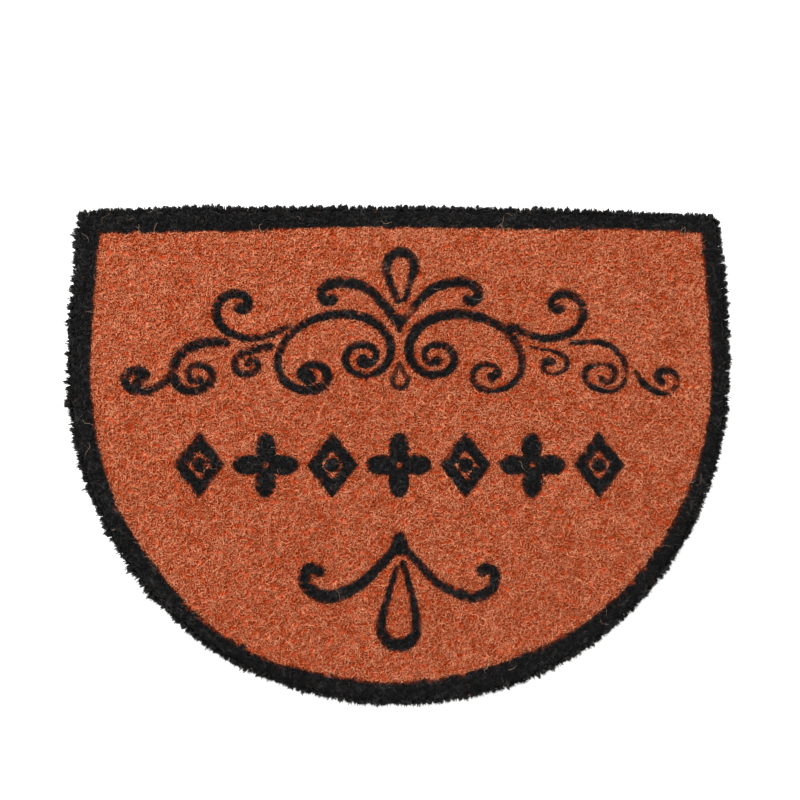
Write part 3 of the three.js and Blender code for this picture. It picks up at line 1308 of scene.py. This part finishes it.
@dataclass
class BrushPile:
    """The cut pile: tufts of fibres that stand in the bed.

    The fibres of a tuft draw together towards its middle and stand highest there, which
    leaves small pits between the tufts. They are dark from their depth and from the painted
    shade of the root colour. Near the rim they splay outwards. Real fibres
    are 0.1 to 0.3 mm thick. These are several times as thick, so that they show.
    """

    rim_depth: PlanGrid
    relief: PileRelief
    colour: FibreColour
    tuft_pitch: float = 3.45 * MM
    tuft_jitter: float = 0.45
    tuft_fibres: int = 9
    tuft_radius: float = 2.25 * MM
    drawn: float = 0.82
    tuft_fall: float = 0.8 * MM
    edge: float = 0.6 * MM
    border: float = 20 * MM
    field_parts: int = 5
    sunk: float = 0.7 * MM
    root_half_width: tuple[float, float] = (0.55 * MM, 1.0 * MM)
    end_half_width: tuple[float, float] = (0.15 * MM, 0.35 * MM)
    shortest: float = 2.0 * MM
    tuft_lean: float = 0.4 * MM
    own_lean: float = 0.6 * MM
    hair_share: float = 0.1
    hair_length: tuple[float, float] = (2.5 * MM, 6.5 * MM)
    hair_width: float = 0.3
    hair_sunk: float = 0.8 * MM
    hair_rise: float = 0.4 * MM
    splay: float = 1.9 * MM
    splay_reach: float = 8 * MM
    seed: int = 7

    # The change in dye that is an edge of the print, and half the stretch that slopes are taken over
    PRINT_EDGE: ClassVar[float] = 0.5
    SLOPE_STEP: ClassVar[float] = 2 * MM

    def build(self, coir: bpy.types.Material) -> list[bpy.types.Object]:
        """Builds the pile in a border piece and several field pieces.

        Args:
            coir: The fibre's material.

        Returns:
            The finished objects.
        """
        rng = np.random.default_rng(self.seed)
        roots, tufts, leans = self._tufts(rng)
        depth = self.rim_depth.at(roots)
        across = np.argsort(roots[:, 0], kind="stable")
        parts = {"pile_border": across[(depth[across] < self.border) & (depth[across] > self.edge)]}
        inner = across[depth[across] >= self.border]
        for number, part in enumerate(np.array_split(inner, self.field_parts), 1):
            parts[f"pile_field_{number}"] = part
        made = []
        for name, part in parts.items():
            fibres = self._fibres(roots[part], tufts[part], leans[part], rng)
            made.append(fibres.surface(name, self.colour, rng).piece([coir]))
        return made

    def _tufts(self, rng: np.random.Generator) -> tuple[np.ndarray, np.ndarray, np.ndarray]:
        """Sets the tufts on a loose grid of equal triangles, and each tuft's roots round it.

        Args:
            rng: Where the chances come from.

        Returns:
            For each fibre, its root, its tuft's middle and its tuft's lean, each as x and y.
        """
        steps = (self.tuft_pitch, self.tuft_pitch * math.sqrt(3) / 2)
        x, y = np.meshgrid(*(np.arange(-reach, reach, step) for reach, step in zip(PLAN_REACH, steps)))
        x[1::2] += self.tuft_pitch / 2
        middles = np.stack([x.ravel(), y.ravel()], 1)
        middles += rng.uniform(-1, 1, middles.shape) * self.tuft_pitch * self.tuft_jitter
        leans = self.tuft_lean * rng.normal(size=middles.shape)
        tufts, leans = (np.repeat(rows, self.tuft_fibres, 0) for rows in (middles, leans))
        turn = rng.uniform(0, 2 * math.pi, len(tufts))
        out = self.tuft_radius * np.sqrt(rng.uniform(size=len(tufts)))
        roots = tufts + out[:, None] * heading(turn)
        inside = self.rim_depth.at(roots) > 0
        return roots[inside], tufts[inside], leans[inside]

    def _outward(self, plan: np.ndarray) -> np.ndarray:
        """Gives the way out to the rim: the downhill direction of the depth inside it.

        Args:
            plan: One row of x and y for each point.

        Returns:
            One row of x and y for each point, of length 1 or less.
        """
        ways = self.SLOPE_STEP * np.eye(2)
        slope = [self.rim_depth.at(plan - way) - self.rim_depth.at(plan + way) for way in ways]
        return np.stack(slope, 1) / (2 * self.SLOPE_STEP)

    def _fibres(
        self, roots: np.ndarray, tufts: np.ndarray, leans: np.ndarray, rng: np.random.Generator
    ) -> Chisels:
        """Stands a fibre on each root.

        Its end is drawn towards its tuft's middle, and its height falls with the square of
        its root's distance from there, but never to less than half the packing's depth above
        its foot. A share of the fibres are hairs: bent over, they lie along the pile's top,
        any way round, and are a fraction as thick as the rest. None lies across an edge of
        the print, where the dye would have matted it down.

        Args:
            roots: One row of x and y for each fibre.
            tufts: Its tuft's middle, in the same way.
            leans: Its tuft's lean, in the same way.
            rng: Where the chances come from.

        Returns:
            The fibres.
        """
        count = len(roots)
        hairs = rng.uniform(size=count) < self.hair_share
        near_rim = np.clip(1 - self.rim_depth.at(roots) / self.splay_reach, 0, 1)
        ends = tufts + self.drawn * (roots - tufts) + leans + self.own_lean * rng.normal(size=(count, 2))
        ends += self.splay * near_rim[:, None] * self._outward(roots)
        turn = rng.uniform(0, 2 * math.pi, count)
        lying = rng.uniform(*self.hair_length, count)[:, None] * heading(turn)
        inks = np.stack([self.colour.black.amount((roots + share * lying)[hairs]) for share in (0, 0.5, 1)])
        hairs[hairs] = np.ptp(inks, axis=0) < self.PRINT_EDGE
        ends[hairs] = (roots + lying)[hairs]
        out = np.hypot(*(roots - tufts).T) / self.tuft_radius
        short = self.tuft_fall * out ** 2 + self.shortest * rng.uniform(size=count) ** 2
        low = self.relief.bed(roots) - self.sunk
        crown = self.relief.crown(ends)
        high = np.maximum(crown - short, low + self.relief.packing / 2)
        low = np.where(hairs, self.relief.crown(roots) - self.hair_sunk, low)
        high = np.where(hairs, crown + self.hair_rise * rng.uniform(-1, 1, count), high)
        width = np.where(hairs, self.hair_width, 1.0)
        return Chisels(
            np.column_stack([roots, low]),
            np.column_stack([ends, high]),
            width * rng.uniform(*self.root_half_width, count),
            width * rng.uniform(*self.end_half_width, count),
            hairs,
        )


@dataclass
class RimTufts:
    """The locks along the rim. They stand out from the wall and make its ragged edge."""

    rim: RimOutline
    colour: FibreColour
    locks: int = 560
    fibres: int = 34
    reach: float = 1.8 * MM
    chance: float = 0.8 * MM
    left_wilder: float = 0.9
    sway: float = 1.4 * MM
    ragged: float = 0.8 * MM
    side_ragged: float = 0.8 * MM
    clumps: SmoothField = SmoothField(4.6 * MM, 51)
    droop: float = 1.5 * MM
    hair_share: float = 0.3
    hair_reach: float = 2.4 * MM
    root_inset: tuple[float, float] = (2.2 * MM, 5.2 * MM)
    root_height: tuple[float, float] = (1.8 * MM, 11 * MM)
    climb: tuple[float, float] = (1.5 * MM, 6.5 * MM)
    tier: float = 1.5 * MM
    lowest: float = 1.6 * MM
    foot_spread: float = 2.8 * MM
    end_spread: float = 2.0 * MM
    root_half_width: tuple[float, float] = (0.5 * MM, 0.9 * MM)
    end_half_width: tuple[float, float] = (0.12 * MM, 0.32 * MM)
    seed: int = 17

    # How much of a fibre's shortness and of its step aside comes from its place in the lock
    PLACE_IN_DROOP: ClassVar[float] = 0.5
    PLACE_IN_SPREAD: ClassVar[float] = 0.75

    def build(self, coir: bpy.types.Material) -> bpy.types.Object:
        """Builds all the locks as one piece.

        A lock's fibres start spread over its foot, inside the wall, and draw together
        towards its end, where the outer ones are shorter. A fibre's place in the lock and
        its own chance share in how short it is and how far aside it ends. Some are hairs
        that stand out a little further. How far the lock reaches outside the rim varies by
        its own chance and by a random field, so that neighbours reach about as far. The
        field counts for more at the two sides, and both count for the most at the left,
        where the rim is the wildest.

        Args:
            coir: The fibre's material.

        Returns:
            The finished object.
        """
        rng = np.random.default_rng(self.seed)
        rim, outward = self.rim.course(self.locks)
        ragged = self.ragged + self.side_ragged * np.abs(outward[:, 0])
        wild = 1 + self.left_wilder * np.clip(-outward[:, 0], 0, 1)
        unlike = ragged * self.clumps.at(rim) + self.chance * rng.uniform(-1, 1, self.locks)
        reach = self.reach + wild * unlike
        lock = np.column_stack([
            rim, outward, reach, rng.uniform(*self.root_height, self.locks),
            rng.uniform(-1, 1, self.locks) * self.sway, wild,
        ])
        lock = np.repeat(lock, self.fibres, 0)
        total = len(lock)
        rim, outward, along = lock[:, :2], lock[:, 2:4], lock[:, [3, 2]] * (-1, 1)
        reach, base, sway, wild = lock[:, 4:].T
        spread = rng.uniform(-1, 1, total)
        inset = rng.uniform(*self.root_inset, total)
        foot = rim - outward * inset[:, None] + along * (sway + self.foot_spread * spread)[:, None]
        placed, chance = self.PLACE_IN_DROOP, 1 - self.PLACE_IN_DROOP
        out = reach - self.droop * (placed * spread ** 2 + chance * rng.uniform(size=total))
        hairs = rng.uniform(size=total) < self.hair_share
        out += self.hair_reach * wild * rng.uniform(size=total) ** 2 * hairs
        placed, chance = self.PLACE_IN_SPREAD, 1 - self.PLACE_IN_SPREAD
        aside = sway + self.end_spread * (placed * spread + chance * rng.normal(size=total))
        ends = rim + outward * out[:, None] + along * aside[:, None]
        low = np.maximum(base + self.tier * rng.uniform(-1, 1, total), self.lowest)
        high = low + rng.uniform(*self.climb, total)
        return Chisels(
            np.column_stack([foot, low]),
            np.column_stack([ends, high]),
            rng.uniform(*self.root_half_width, total),
            rng.uniform(*self.end_half_width, total),
            hairs,
        ).surface("rim_tufts", self.colour, rng).piece([coir])


@dataclass
class StrayFibres:
    """Long pale fibres that escaped the dye and lie on the pile, a share of them by the border."""

    rim_depth: PlanGrid
    relief: PileRelief
    count: int = 200
    length: tuple[float, float] = (4 * MM, 14 * MM)
    half_width: tuple[float, float] = (0.05 * MM, 0.1 * MM)
    bow: float = 0.3
    twist: float = 0.12
    lift: float = 0.3 * MM
    clear: float = 3 * MM
    border: float = 20 * MM
    border_share: float = 0.2
    rings: int = 8
    seed: int = 27

    # The sides of each tube, and how many spots are tried for each fibre
    SIDES: ClassVar[int] = 3
    TRIES: ClassVar[int] = 40

    def build(self, bare: bpy.types.Material) -> bpy.types.Object:
        """Lays the fibres as one piece.

        Each fibre is a three-sided tube along an arc, with a wave of one turn added to it.
        Its width swells from a point at one end and back to a point at the other.

        Args:
            bare: The undyed fibre's material.

        Returns:
            The finished object.
        """
        rng = np.random.default_rng(self.seed)
        spots = self._spots(rng)
        total = len(spots)
        turn = rng.uniform(0, 2 * math.pi, total)
        length = rng.uniform(*self.length, total)
        bow, twist = (rng.uniform(-most, most, total) * length for most in (self.bow, self.twist))
        way = heading(turn)
        side = way[:, ::-1] * (-1, 1)
        t = np.linspace(-1, 1, self.rings + 2)
        aside = bow[:, None] * (1 - t * t) + twist[:, None] * np.sin(math.pi * t)
        line = (
            spots[:, None] + way[:, None] * (t[None, :, None] * length[:, None, None] / 2)
            + side[:, None] * aside[..., None]
        )
        heights = self.relief.crown(line.reshape(-1, 2)).reshape(total, -1) + self.lift
        spine = np.concatenate([line, heights[..., None]], 2)
        thin, thick = self.half_width
        width = thin + (thick - thin) * rng.uniform(size=total) ** 2
        angles = np.arange(self.SIDES) * 2 * math.pi / self.SIDES + math.pi / 2
        ring = (
            np.concatenate([side, np.zeros((total, 1))], 1)[:, None] * np.cos(angles)[None, :, None]
            + np.array([0, 0, 1.0]) * np.sin(angles)[None, :, None]
        ) * width[:, None, None]
        rings = spine[:, 1:-1, None, :] + ring[:, None]
        points = np.concatenate([spine[:, :1], rings.reshape(total, -1, 3), spine[:, -1:]], 1)
        triangles = (points.shape[1] * np.arange(total)[:, None, None] + self._faces()).reshape(-1, 3)
        cells = map_cells(total, self._corners())
        return Surface("stray_fibres", points.reshape(-1, 3), triangles, cells=cells).piece([bare])

    def _spots(self, rng: np.random.Generator) -> np.ndarray:
        """Picks a place for each fibre: some along the border's inner side, the rest anywhere.

        Args:
            rng: Where the chances come from.

        Returns:
            One row of x and y for each fibre.
        """
        spots = rng.uniform(-1, 1, (self.TRIES * self.count, 2)) * PLAN_REACH
        depth = self.rim_depth.at(spots)
        by_border = spots[np.abs(depth - self.border) < self.clear]
        anywhere = spots[depth > self.clear]
        near = round(self.border_share * self.count)
        return np.concatenate([by_border[:near], anywhere[:self.count - near]])

    def _faces(self) -> np.ndarray:
        """Lists one fibre's faces: a fan at each end and a band between two rings.

        Returns:
            One row of three point numbers for each face.
        """
        side = np.arange(self.SIDES)
        beside = (side + 1) % self.SIDES
        last = self.SIDES * self.rings + 1
        near = 1 + self.SIDES * np.arange(self.rings - 1)[:, None]
        far = near + self.SIDES
        fans = (
            (np.zeros_like(side), 1 + beside, 1 + side),
            (np.full_like(side, last), last - self.SIDES + side, last - self.SIDES + beside),
        )
        bands = ((near + side, near + beside, far + beside), (near + side, far + beside, far + side))
        return np.concatenate([np.stack(corners, -1).reshape(-1, 3) for corners in (*fans, *bands)])

    def _corners(self) -> np.ndarray:
        """Places one fibre's points in its square on the map: along it by ring, across by side.

        Returns:
            One row of two places, from 0 to 1, for each point.
        """
        along = np.linspace(CELL_LOW, CELL_HIGH, self.rings + 2)
        sides = np.linspace(CELL_LOW, CELL_HIGH, self.SIDES)
        rings = [(across, place) for place in along[1:-1] for across in sides]
        middle = (CELL_LOW + CELL_HIGH) / 2
        return np.array([(middle, along[0]), *rings, (middle, along[-1])])


@dataclass
class Studio:
    """The camera at the photograph's angle, a white floor and plain soft light."""

    elevation: float = 79.0
    distance: float = 1.6
    lens: float = 80.0
    sensor: float = 36.0
    aim: tuple[float, float, float] = (1.7 * MM, 46.4 * MM, 0.0)
    floor_half: float = 4.0
    key_place: tuple[float, float, float] = (-1.1, 1.0, 2.4)
    key_size: float = 2.2
    key_power: float = 140.0
    sky: float = 1.95

    def build(self) -> None:
        """Sets up the camera, the lights and the floor."""
        self._camera()
        self._lights()
        self._floor()

    def _camera(self) -> None:
        """Sets the camera back from its aim, along the photograph's line of sight."""
        tilt = math.radians(self.elevation)
        data = bpy.data.cameras.new("camera")
        data.lens, data.sensor_width = self.lens, self.sensor
        camera = bpy.data.objects.new("camera", data)
        back = Vector((0, -math.cos(tilt), math.sin(tilt)))
        camera.location = Vector(self.aim) + self.distance * back
        camera.rotation_euler = (math.pi / 2 - tilt, 0, 0)
        bpy.context.scene.collection.objects.link(camera)
        bpy.context.scene.camera = camera

    def _lights(self) -> None:
        """Adds one large soft lamp at the upper left and an even white surround."""
        scene = bpy.context.scene
        scene.view_settings.view_transform = "Standard"
        data = bpy.data.lights.new("soft_box", "AREA")
        data.energy, data.shape, data.size = self.key_power, "SQUARE", self.key_size
        lamp = bpy.data.objects.new("soft_box", data)
        lamp.location = self.key_place
        lamp.rotation_euler = (-Vector(self.key_place)).to_track_quat("-Z", "Y").to_euler()
        scene.collection.objects.link(lamp)
        world = bpy.data.worlds.new("surround")
        world.use_nodes = True
        background = world.node_tree.nodes["Background"]
        background.inputs["Color"].default_value = (1, 1, 1, 1)
        background.inputs["Strength"].default_value = self.sky
        scene.world = world

    def _floor(self) -> None:
        """Lays the floor under the mat."""
        half = self.floor_half
        mesh = bpy.data.meshes.new("floor")
        corners = [(-half, -half, 0), (half, -half, 0), (half, half, 0), (-half, half, 0)]
        mesh.from_pydata(corners, [], [(0, 1, 2, 3)])
        mesh.materials.append(StudioPaper().make())
        floor = bpy.data.objects.new("floor", mesh)
        bpy.context.scene.collection.objects.link(floor)


def declare_sheet(rim: RimOutline) -> None:
    """Args:
        rim: The mat's outline.
    """
    rim.area()


def main() -> None:
    """Builds the studio and every piece of the mat, in order, and reports each piece."""
    logging.basicConfig(level=logging.INFO, format="%(message)s")
    Studio().build()
    rim = RimOutline.in_frame()
    depth = rim.depth()
    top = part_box(MAT_NODE)[1].z
    relief = PileRelief(depth, top)
    colour = FibreColour(BlackPrint(depth))
    coir = DyedCoir().make()
    bed = MatBed(rim, relief, colour).build(coir, CalenderedVinyl().make())
    others = BrushPile(depth, relief, colour).build(coir)
    others.append(RimTufts(rim, colour).build(coir))
    others.append(StrayFibres(depth, relief).build(BareCoir().make()))
    for piece in (bed, *others):
        LOG.info("%s: %d triangles", piece.name, len(piece.data.polygons))
    declare_sheet(rim)


if __name__ == "__main__":
    main()
